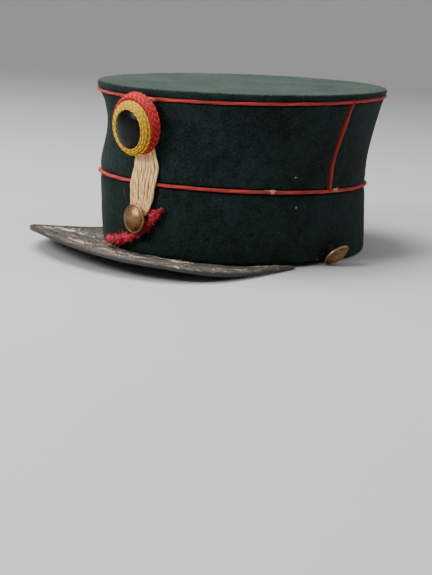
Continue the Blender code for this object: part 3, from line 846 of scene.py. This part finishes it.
def build_cockade():
    values = looks().cockade
    # Painted shade: each ring's deep wool colours every other ply and the solid under the cords, for the
    # shadow in the grooves between them.
    red, shaded_red = lit_and_shaded_wools("cockade_red_wool", values.red, 0.42)
    yellow, shaded_yellow = lit_and_shaded_wools("cockade_yellow_wool", values.yellow, 0.50)
    repaint("cockade_red", shaded_red)
    repaint("cockade_yellow", shaded_yellow)
    plate, ring, boss = seat_of("cockade_red"), seat_of("cockade_yellow"), seat_of("cockade_boss")
    cord = 0.78 * MM
    base = plate.matrix @ Matrix.Translation((0, 0, plate.low))
    thick = plate.high - plate.low
    outer = RingRow(plate.radius - cord * 0.2, plate.radius - cord * 0.2, 0.0, thick * 0.16)
    inner = RingRow(ring.radius + cord * 0.5, ring.radius + cord * 0.5, 0.6 * MM, thick * 0.98)
    ring_cords("cockade_red_cords", base, outer, inner, 5, cord, (red, shaded_red), "red_wool")
    cord = 0.70 * MM
    foot = ring.matrix @ Matrix.Translation((0, 0, ring.low))
    rise = ring.high - ring.low
    drop = -(foot.inverted() @ boss.matrix.translation).y
    outer = RingRow(ring.radius - cord * 0.6, ring.radius - cord * 0.6, 0.0, cord * 0.9)
    inner = RingRow(boss.half_across + cord * 0.9, boss.half_up + cord * 0.9, drop, rise + cord * 0.1)
    ring_cords("cockade_yellow_cords", foot, outer, inner, 4, cord, (yellow, shaded_yellow), "yellow_wool")
    mesh = subdivided(copy_of("cockade_boss"), "cockade_boss_leather", 2)
    piece("cockade_boss_leather", mesh, boss_finish("boss_leather"), "boss_leather", "cockade_boss")
    build_cockade_fuzz(plate, red)


def build_cockade_fuzz(plate, red):
    """Short loose fibres round the red ring's edge."""
    chance = random.Random(21)
    hairs = 420
    strands = []
    for _ in range(hairs):
        turn = chance.uniform(0, math.tau)
        out = Vector((math.cos(turn), math.sin(turn), 0))
        up = UP * (plate.low + chance.uniform(0.5, 3.5) * MM)
        root = plate.matrix @ (out * (plate.radius + 0.3 * MM) + up)
        direction = ((plate.matrix.to_3x3() @ out) + any_way(chance) * 0.7).normalized()
        strands.append(hair(root, direction, chance.uniform(0.4, 1.1) * MM, 0.4, chance))
    piece("cockade_fuzz", tubes("cockade_fuzz", strands, 0.035 * MM, 0), red, "red_wool")


# Cords and tuft


def reach_across(tree, z, left, right):
    """The left and right end of what rays from the front meet at a height, or None."""
    steps, fewest = 240, 20
    hits = [front_hit(tree, left + (right - left) * i / steps, z) for i in range(steps + 1)]
    hits = [hit for hit in hits if hit]
    return (hits[0].x, hits[-1].x) if len(hits) > fewest else None


def build_strap():
    values = looks().cords
    cream = cord_finish("cream_yarn", values.cream)
    tree, wall = node_tree("cord_strap"), node_tree("crown_front")
    low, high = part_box("cord_strap")
    rows, narrowest, widest = 26, 16.5 * MM, 18.6 * MM
    gather_length, gather_share = 15 * MM, 0.46
    radius, sway_length, smoothings = 1.0 * MM, 9 * MM, 7
    levels = []
    for row in range(rows + 1):
        z = low.z + (high.z - low.z) * (0.02 + 0.96 * row / rows)
        reach = reach_across(tree, z, low.x - MM, high.x + MM)
        if reach:
            if row > rows / 2 and reach[1] - reach[0] < narrowest:
                reach = levels[-1][1]
            levels.append((z, reach))
    chance = random.Random(8)
    strands = []
    for cord in range(values.cords):
        phase, sway = chance.uniform(0, math.tau), chance.uniform(0.15, 0.35) * MM
        points = []
        for z, (left, right) in levels:
            width = min(right - left, widest) * 1.02
            middle = (left + right) / 2
            x = middle + width * ((cord + 0.5) / values.cords - 0.5)
            x += sway * math.sin(z / sway_length + phase)
            x -= max(z - high.z + gather_length, 0.0) * gather_share * cord / (values.cords - 1)
            hit = front_hit(tree, x, z)
            y = hit.y if hit else front_hit(wall, x, z).y - radius * 2
            points.append(Vector((x, y + radius * (0.9 if cord % 2 else 0.7), z)))
        for _ in range(smoothings):
            inner = [(a + b * 2 + c) / 4 for a, b, c in zip(points, points[1:], points[2:])]
            points = [points[0], *inner, points[-1]]
        lay = chance.uniform(22, 30) * MM
        strands += plied(points, FORWARD, 3, radius * 0.50, lay, 1, False, 0.03, phase)
    mesh = tubes("cord_strap_cords", strands, radius * 0.56, 1)
    piece("cord_strap_cords", mesh, cream, "cream_cord", "cord_strap")
    fuzz = []
    for strand in strands:
        for point in strand.points[::3]:
            lean = Vector((chance.uniform(-1, 1), chance.uniform(-1, 0.2), chance.uniform(-1, 1)))
            fuzz.append(hair(point, lean.normalized(), chance.uniform(0.8, 1.5) * MM, 0.4, chance))
    piece("cord_strap_fuzz", tubes("cord_strap_fuzz", fuzz, 0.03 * MM, 0), cream, "cream_cord")


def tuft_spine():
    """Middle, radius and the wall's place along the tuft's solid, from its left end to its upper end."""
    tree = node_tree("red_tuft")
    wall = node_tree("lower_band")
    low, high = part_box("red_tuft")
    steps, rows = 40, 89
    found = []
    for step in range(steps + 1):
        x = low.x + (high.x - low.x) * (0.02 + 0.96 * step / steps)
        hits = [front_hit(tree, x, low.z + (high.z - low.z) * i / rows) for i in range(rows + 1)]
        hits = [hit for hit in hits if hit]
        if len(hits) > 3:
            z = sum(hit.z for hit in hits) / len(hits)
            front = min(hit.y for hit in hits)
            back = front_hit(wall, x, z).y
            found.append((Vector((x, (front + back) / 2, z)), (hits[-1].z - hits[0].z) / 2, back))
    return found


def build_tuft():
    values = looks().cords
    chance = random.Random(17)
    wool = wool_finish("crimson_wool", values.crimson, darker(values.crimson, 0.30), 1.3 * MM)
    spine = tuft_spine()
    fibres, last_stretch, clear = 500, 0.84, 0.35 * MM
    strands, fine = [], []
    for number in range(values.yarns + fibres):
        spot = chance.uniform(0, len(spine) - 1.001)
        i = int(spot)
        centre = spine[i][0].lerp(spine[i + 1][0], spot - i)
        _, radius, back = spine[i]
        along = (spine[i + 1][0] - spine[i][0]).normalized()
        upward = along.cross(FORWARD).normalized()
        swing = chance.uniform(0, math.tau)
        out = upward * math.cos(swing) + FORWARD * abs(math.sin(swing))
        root = centre + out * radius * chance.uniform(0.0, 0.45)
        lean = (along * chance.uniform(-1.0, 1.0) + out * chance.uniform(0.4, 1.0)).normalized()
        thin = number >= values.yarns
        length = radius * (chance.uniform(0.9, 1.9) if thin else chance.uniform(0.9, 1.55))
        if spot > last_stretch * len(spine):
            lean = (lean - along * max(lean.dot(along), 0.0)).normalized()
            length *= 0.75
        curl = any_way(chance) * 0.35
        points = []
        for k in range(5):
            share = k / 4
            point = root + lean * length * share + curl * length * share * share
            point += upward * math.sin(share * 5 + swing) * 0.25 * MM
            point.y = min(point.y, back - clear)
            points.append(point)
        (fine if thin else strands).append(Strand(points, [1.0, 1.0, 0.95, 0.8, 0.35], False))
    piece("red_tuft_yarns", tubes("red_tuft_yarns", strands, 0.52 * MM, 1), wool, "crimson_wool")
    piece("red_tuft_fibres", tubes("red_tuft_fibres", fine, 0.09 * MM, 0), wool, "crimson_wool")
    # Painted shade: the tuft's solid under the yarns is painted dark crimson, for the shadow in the gaps
    # between them.
    core = wool_finish("crimson_shaded_core", darker(values.crimson, 0.4), darker(values.crimson, 0.2))
    repaint("red_tuft", core)
    build_loose_thread(wool_finish("loose_wool", (0.22, 0.020, 0.045), (0.10, 0.010, 0.025)))


def build_loose_thread(wool):
    """One short red thread that hangs from the band's seam beside the cords."""
    wall = node_tree("lower_band")
    slant, drop, steps = 3.2 * MM, 7 * MM, 13
    points = []
    for i in range(steps + 1):
        share = i / steps
        x = LOOSE_THREAD.x + share * slant + math.sin(share * 5) * 0.4 * MM
        z = LOOSE_THREAD.z - share * drop
        y = front_hit(wall, x, z).y - 0.3 * MM - math.sin(share * math.pi) * 0.6 * MM
        points.append(Vector((x, y, z)))
    strands = [Strand(points, [1.0] * steps + [0.4], False)]
    piece("loose_thread", tubes("loose_thread", strands, 0.16 * MM, 1), wool, "crimson_wool")


# Peak


def drawn_place(point):
    """A place on the peak measured along its curve and across it."""
    curve_radius = 0.11
    away = point - PEAK_MIDDLE
    return Vector((math.atan2(away.x, -away.y) * curve_radius, math.hypot(away.x, away.y), 0.0))


def set_wear(mesh, wears, tops):
    """Gives a piece of leather the values that its finish reads."""
    set_values(mesh, "wear", wears)
    set_values(mesh, "topside", tops)
    places = [value for vertex in mesh.vertices for value in drawn_place(vertex.co)]
    mesh.attributes.new("drawn", "FLOAT_VECTOR", "POINT").data.foreach_set("vector", places)


def flakes(point):
    """Height and wear of the peak's broken finish at a place, both about 0 to 1."""
    drawn = drawn_place(point)
    ridge = 1 - abs(noise.noise(Vector((drawn.x / (11 * MM), drawn.y / (2.6 * MM), 0.0))) * 2)
    distances, cells = noise.voronoi(Vector((drawn.x / (8 * MM), drawn.y / (3.0 * MM), 0.3)))
    plate = noise.cell_vector(cells[0] * 7.0).x
    broad = noise.noise(point / (17 * MM)) * 0.5 + 0.5
    bare = max(1 - (point - place).length / (8 * MM) for place in BARE_PLACES)
    dark = max(1 - (point - DARK_PLACE).length / (26 * MM), 0.0)
    height = 0.55 * ridge + 0.45 * (plate > 0.55) * min((distances[1] - distances[0]) * 4, 1)
    wear = 0.38 * plate + 0.30 * ridge * ridge + 0.45 * (broad - 0.28) + 0.5 * max(bare, 0.0) - 0.7 * dark
    return height, wear


def build_peak():
    values = looks().leather
    leather = peak_finish("flaked_leather", values, 0.85)
    edging = peak_finish("rubbed_binding", values, 0.35)
    for node, finish, relief, wear_share in (
        ("peak", leather, values.relief, 1.0),
        ("peak_binding", edging, values.relief * 0.35, 0.8),
    ):
        mesh = subdivided(copy_of(node), node + "_leather", 3)
        mesh.update()
        tops = [min(max(vertex.normal.z * 1.6, 0.0), 1.0) for vertex in mesh.vertices]
        wears = [flakes(vertex.co)[1] * wear_share for vertex in mesh.vertices]
        set_wear(mesh, wears, tops)

        def lift(point, normal, relief=relief):
            height, _ = flakes(point)
            return normal * relief * (height - 0.4) * max(normal.z, 0.0)

        shifted(mesh, lift)
        piece(node + "_leather", mesh, finish, "peak_leather", node)
    build_chips(leather)
    build_stitches()


def build_chips(leather):
    """Curled chips of the finish that stand up from the peak."""
    chance = random.Random(31)
    tree = piece_tree("peak_leather")
    low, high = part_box("peak")
    chips, least_wear, middle_y = 150, 0.36, 0.02
    made = bmesh.new()
    count = 0
    while count < chips:
        x, y = chance.uniform(low.x, high.x), chance.uniform(low.y, high.y)
        hit, normal, _, _ = tree.ray_cast(Vector((x, y, FAR_ABOVE)), -UP)
        if hit is None or normal.z < 0.5 or flakes(hit)[1] < least_wear:
            continue
        across = Vector((hit.x, hit.y - middle_y, 0)).normalized()
        along = UP.cross(across)
        along = (along + across * chance.uniform(-0.4, 0.4)).normalized()
        across = normal.cross(along).normalized()
        size = chance.uniform(0.8, 1.7) * MM
        turn = Matrix((along, across, normal)).transposed().to_4x4()
        place = Matrix.Translation(hit + normal * 0.12 * MM) @ turn
        grid = bmesh.ops.create_grid(made, x_segments=4, y_segments=2, size=0.5)
        curl = chance.uniform(0.15, 0.5)
        for vertex in grid["verts"]:
            local = vertex.co.copy()
            narrow = 1 - 1.2 * local.x**2
            local.z = curl * (local.x + 0.5) ** 2 * 0.6 + 0.12 * noise.noise(local * 3 + hit * 900)
            local.y *= narrow * 0.55
            vertex.co = place @ (Vector((local.x * 2.1, local.y, local.z)) * size)
        count += 1
    mesh = mesh_from(made, "peak_chips")
    set_wear(mesh, [chance.uniform(0.2, 0.9) for _ in mesh.vertices], [1.0] * len(mesh.vertices))
    obj = piece("peak_chips", mesh, leather, "peak_leather")
    wall = obj.modifiers.new("thickness", "SOLIDIFY")
    wall.thickness = 0.16 * MM


def build_stitches():
    """A row of stitches through the peak beside its bound edge."""
    tree = node_tree("peak")
    inset, steps, halvings = 1.3 * MM, 420, 18
    found = []
    for step in range(steps + 1):
        turn = math.radians(-96 + 192 * step / steps)
        out = Vector((math.sin(turn), -math.cos(turn), 0))
        near, far = 0.05, 0.20
        for _ in range(halvings):
            half = (near + far) / 2
            hit = tree.ray_cast(STITCH_MIDDLE + out * half + UP * FAR_ABOVE, -UP)[0]
            near, far = (half, far) if hit else (near, half)
        place = STITCH_MIDDLE + out * (near - inset)
        hit = tree.ray_cast(place + UP * FAR_ABOVE, -UP)[0]
        if hit:
            found.append(hit)
    path, _ = even_path(found, 0.5 * MM)
    strands = []
    length = 5
    for start in range(0, len(path) - length, length + 1):
        run = path[start : start + length + 1]
        points = [point + UP * 0.32 * MM * math.sin(math.pi * i / length) for i, point in enumerate(run)]
        strands.append(Strand(points, [0.7, 1.0, 1.0, 1.0, 1.0, 0.7], False))
    thread = wool_finish("peak_thread", (0.26, 0.22, 0.16), (0.10, 0.085, 0.065), 0.6 * MM)
    piece("peak_stitches", tubes("peak_stitches", strands, 0.24 * MM, 1), thread, "peak_leather")


# Buttons


ButtonRow = namedtuple("ButtonRow", "out up raised")
BUTTON_ROWS = (
    ButtonRow(0.0, 0.02, 0.0),
    ButtonRow(0.60, 0.0, 0.0),
    ButtonRow(0.93, 0.02, 0.0),
    ButtonRow(0.99, 0.08, 0.4),
    ButtonRow(1.0, 0.16, 1.0),
    ButtonRow(1.0, 0.25, 1.0),
    ButtonRow(0.975, 0.33, 1.0),
    ButtonRow(0.93, 0.355, 1.0),
    ButtonRow(0.895, 0.33, 0.4),
    ButtonRow(0.875, 0.30, 0.0),
    ButtonRow(0.84, 0.36, 0.0),
    ButtonRow(0.78, 0.50, 0.2),
    ButtonRow(0.66, 0.68, 0.4),
    ButtonRow(0.50, 0.84, 0.6),
    ButtonRow(0.30, 0.95, 0.8),
    ButtonRow(0.12, 0.99, 0.9),
    ButtonRow(0.0, 1.0, 0.9),
)


def button_mesh(name, seat):
    """A domed button turned from its outline, on its seat's axis."""
    radius = seat.radius
    made = turned([(radius * row.out, BUTTON_DOME * row.up) for row in BUTTON_ROWS], 72)
    raised = []
    rows = [(radius * row.out, BUTTON_DOME * row.up, row.raised) for row in BUTTON_ROWS]
    for vertex in made.verts:
        out = math.hypot(vertex.co.x, vertex.co.y)
        raised.append(min(rows, key=lambda row: abs(row[0] - out) + abs(row[1] - vertex.co.z))[2])
        if vertex.co.z > 0.4 * BUTTON_DOME:
            dent = noise.noise(vertex.co / (3.4 * MM) + Vector((seat.low * 900, 0, 0)))
            vertex.co.z += dent * 0.16 * MM
    place = seat.matrix @ Matrix.Translation((0, 0, seat.high - BUTTON_DOME))
    bmesh.ops.transform(made, matrix=place, verts=made.verts)
    mesh = mesh_from(made, name)
    set_values(mesh, "raised", raised)
    return mesh


def build_shank(name, seat, thread):
    """Turns of thread from the button's back to the cloth."""
    chance = random.Random(5)
    back = seat.high - BUTTON_DOME
    reach = back - seat.low + 0.6 * MM
    points = []
    turns, steps = 5, 90
    for i in range(steps + 1):
        share = i / steps
        turn = math.tau * turns * share
        out = (0.85 + 0.25 * chance.random()) * MM
        place = Vector((out * math.cos(turn), out * math.sin(turn), back - reach * share))
        points.append(seat.matrix @ place)
    strands = [Strand(points, [1.0] * len(points), False)]
    core = [seat.matrix @ Vector((0, 0, back - reach * i / 4)) for i in range(5)]
    strands.append(Strand(core, [1.9] * 5, False))
    piece(name, tubes(name, strands, 0.42 * MM, 1), thread, "green_cloth")


def build_buttons():
    values = looks().brass
    brass = brass_finish("worn_brass", values.bright, values.dark)
    cloth = looks().cloth
    thread = wool_finish("dark_thread", cloth.worn, cloth.deep, 0.6 * MM)
    for node in ("front_button", "side_button_left", "side_button_right"):
        seat = seat_of(node)
        piece(node + "_brass", button_mesh(node + "_brass", seat), brass, "worn_brass", node)
        build_shank(node + "_shank", seat, thread)


# Lint


def build_lint():
    """Pale lint on the cloth: the tufts that show on the left side, and finer ones all over."""
    chance = random.Random(2)
    made = Finish("lint", 0.9)
    made.set(Base_Color=made.blend(made.noise(0.8 * MM, 2.0), (0.12, 0.14, 0.12), (0.50, 0.50, 0.46)))
    faint = Finish("faint_lint", 0.9)
    faint.set(Base_Color=faint.blend(faint.noise(0.8 * MM, 2.0), (0.02, 0.03, 0.027), (0.11, 0.13, 0.115)))
    tree = node_tree("lower_band", "crown_front", "crown_back", "crown_top")
    middle = Vector((0, CROWN_MIDDLE_Y, 0.06))
    faint_spots, far = 160, 0.25
    strands, fine = [], []
    spots = [(place, 8, 0.7 * MM) for place in LINT_PLACES]
    for _ in range(faint_spots):
        turn = chance.uniform(0, math.tau)
        away = Vector((math.sin(turn), math.cos(turn), chance.uniform(-0.25, 0.6)))
        spots.append((middle + away * far, 2, chance.uniform(0.4, 0.8) * MM))
    for place, count, spread in spots:
        towards = Vector((-place.x, middle.y - place.y, 0)) if place in LINT_PLACES else middle - place
        start = place - towards.normalized() * 0.05
        hit, normal, _, _ = tree.ray_cast(start, towards.normalized())
        if hit is None:
            continue
        for _ in range(count):
            lean = any_way(chance)
            lean = (lean - normal * lean.dot(normal) * 0.7).normalized()
            root = hit + normal * 0.25 * MM + lean * spread * chance.uniform(-0.5, 0.5)
            chosen = strands if place in LINT_PLACES else fine
            chosen.append(hair(root, lean, spread * chance.uniform(0.7, 1.6), 0.6, chance))
    piece("lint", tubes("lint", strands, 0.15 * MM, 0), made.material, "green_cloth")
    piece("faint_lint", tubes("faint_lint", fine, 0.08 * MM, 0), faint.material, "green_cloth")


# Stage


def area_light(name, place, target, size, power):
    light = bpy.data.lights.new(name, "AREA")
    light.shape = "DISK"
    light.size = size
    light.energy = power
    obj = bpy.data.objects.new(name, light)
    bpy.context.scene.collection.objects.link(obj)
    obj.location = place
    obj.rotation_euler = (Vector(target) - Vector(place)).to_track_quat("-Z", "Y").to_euler()


def build_camera(values):
    """A camera in the photograph's direction and with its slight roll."""
    camera = bpy.data.cameras.new("camera")
    camera.lens = values.lens
    camera.sensor_width = 36
    camera.clip_start = 0.01
    obj = bpy.data.objects.new("camera", camera)
    bpy.context.scene.collection.objects.link(obj)
    level = math.cos(values.elevation)
    x, y = math.sin(values.azimuth) * level, -math.cos(values.azimuth) * level
    back = Vector((x, y, math.sin(values.elevation)))
    right = Vector((math.cos(values.azimuth), math.sin(values.azimuth), 0))
    upward = back.cross(right)
    tilted_right = right * math.cos(values.roll) + upward * math.sin(values.roll)
    tilted_up = back.cross(tilted_right)
    turn = Matrix((tilted_right, tilted_up, back)).transposed().to_4x4()
    obj.matrix_world = Matrix.Translation(Vector(values.aim) + back * values.distance) @ turn
    bpy.context.scene.camera = obj


def build_floor():
    """A pale floor that curves up to a wall all round."""
    flat, wall_height, bend_steps = 2.0, 3.2, 8
    paint = Finish("floor_paint", 0.75)
    shade = paint.noise(0.35, 2.0)
    paint.set(Base_Color=paint.blend(shade, (0.44, 0.44, 0.45), (0.49, 0.49, 0.50)))
    bends = [math.pi / 2 * i / bend_steps for i in range(1, bend_steps + 1)]
    outline = [(0.0, 0.0), (flat, 0.0)]
    outline += [(flat + math.sin(bend), 1.0 - math.cos(bend)) for bend in bends]
    outline.append((flat + 1.0, wall_height))
    mesh = mesh_from(turned(outline, 96), "floor")
    mesh.materials.append(paint.material)
    floor = bpy.data.objects.new("floor", mesh)
    bpy.context.scene.collection.objects.link(floor)


def build_stage():
    values = looks().stage
    build_camera(values)
    build_floor()
    area_light("key_light", (-0.35, -0.25, 1.25), (0, 0.02, 0.05), 0.8, values.key_power)
    area_light("fill_light", (-0.25, -1.4, 0.95), (0, 0, 0.05), 0.6, values.fill_power)
    area_light("back_light", (0.9, 1.1, 0.7), (0, 0, 0.06), 0.7, values.fill_power * 0.15)
    world = bpy.data.worlds.new("world")
    bpy.context.scene.world = world
    world.use_nodes = True
    sky = world.node_tree.nodes["Background"].inputs
    sky["Color"].default_value = (0.83, 0.82, 0.82, 1.0)
    sky["Strength"].default_value = 0.9


# Add-on


class KEPI_OT_cloth(Operator):
    """Make the cloth of the band, crown and top"""

    bl_idname = "kepi.cloth"
    bl_label = "Cloth"

    def execute(self, context):
        build_cloth()
        return {"FINISHED"}


class KEPI_OT_piping(Operator):
    """Make the twisted red piping"""

    bl_idname = "kepi.piping"
    bl_label = "Piping"

    def execute(self, context):
        build_piping()
        return {"FINISHED"}


class KEPI_OT_cockade(Operator):
    """Make the cockade's wound cords and its boss"""

    bl_idname = "kepi.cockade"
    bl_label = "Cockade"

    def execute(self, context):
        build_cockade()
        return {"FINISHED"}


class KEPI_OT_strap(Operator):
    """Make the strap of cream cords"""

    bl_idname = "kepi.strap"
    bl_label = "Strap"

    def execute(self, context):
        build_strap()
        return {"FINISHED"}


class KEPI_OT_tuft(Operator):
    """Make the frayed crimson tuft"""

    bl_idname = "kepi.tuft"
    bl_label = "Tuft"

    def execute(self, context):
        build_tuft()
        return {"FINISHED"}


class KEPI_OT_peak(Operator):
    """Make the cracked leather peak and its bound edge"""

    bl_idname = "kepi.peak"
    bl_label = "Peak"

    def execute(self, context):
        build_peak()
        return {"FINISHED"}


class KEPI_OT_buttons(Operator):
    """Make the brass buttons and their threads"""

    bl_idname = "kepi.buttons"
    bl_label = "Buttons"

    def execute(self, context):
        build_buttons()
        return {"FINISHED"}


class KEPI_OT_lint(Operator):
    """Scatter lint on the cloth"""

    bl_idname = "kepi.lint"
    bl_label = "Lint"

    def execute(self, context):
        build_lint()
        return {"FINISHED"}


class KEPI_OT_stage(Operator):
    """Make the floor, lights and camera"""

    bl_idname = "kepi.stage"
    bl_label = "Stage"

    def execute(self, context):
        build_stage()
        return {"FINISHED"}


OPERATORS = (
    KEPI_OT_stage,
    KEPI_OT_cloth,
    KEPI_OT_piping,
    KEPI_OT_cockade,
    KEPI_OT_strap,
    KEPI_OT_tuft,
    KEPI_OT_peak,
    KEPI_OT_buttons,
    KEPI_OT_lint,
)


class KEPI_PT_looks(Panel):
    """Lists the cap's settings and the operators that build it"""

    bl_label = "Kepi cap"
    bl_space_type = "VIEW_3D"
    bl_region_type = "UI"
    bl_category = "Kepi"

    def draw(self, context):
        for group in context.scene.kepi_looks.bl_rna.properties:
            if group.identifier in ("rna_type", "name"):
                continue
            values = getattr(context.scene.kepi_looks, group.identifier)
            box = self.layout.box()
            box.label(text=group.identifier.capitalize())
            for value in values.bl_rna.properties:
                if value.identifier not in ("rna_type", "name"):
                    box.prop(values, value.identifier)
        for operator in OPERATORS:
            self.layout.operator(operator.bl_idname)


CLASSES = (
    KepiCloth,
    KepiPiping,
    KepiCockade,
    KepiCords,
    KepiLeather,
    KepiBrass,
    KepiStage,
    KepiLooks,
    *OPERATORS,
    KEPI_PT_looks,
)


def register():
    for made in CLASSES:
        bpy.utils.register_class(made)
    bpy.types.Scene.kepi_looks = PointerProperty(type=KepiLooks)


def unregister():
    del bpy.types.Scene.kepi_looks
    for made in reversed(CLASSES):
        bpy.utils.unregister_class(made)


def main():
    register()
    for operator in OPERATORS:
        group, name = operator.bl_idname.split(".")
        getattr(getattr(bpy.ops, group), name)()


if __name__ == "__main__":
    main()
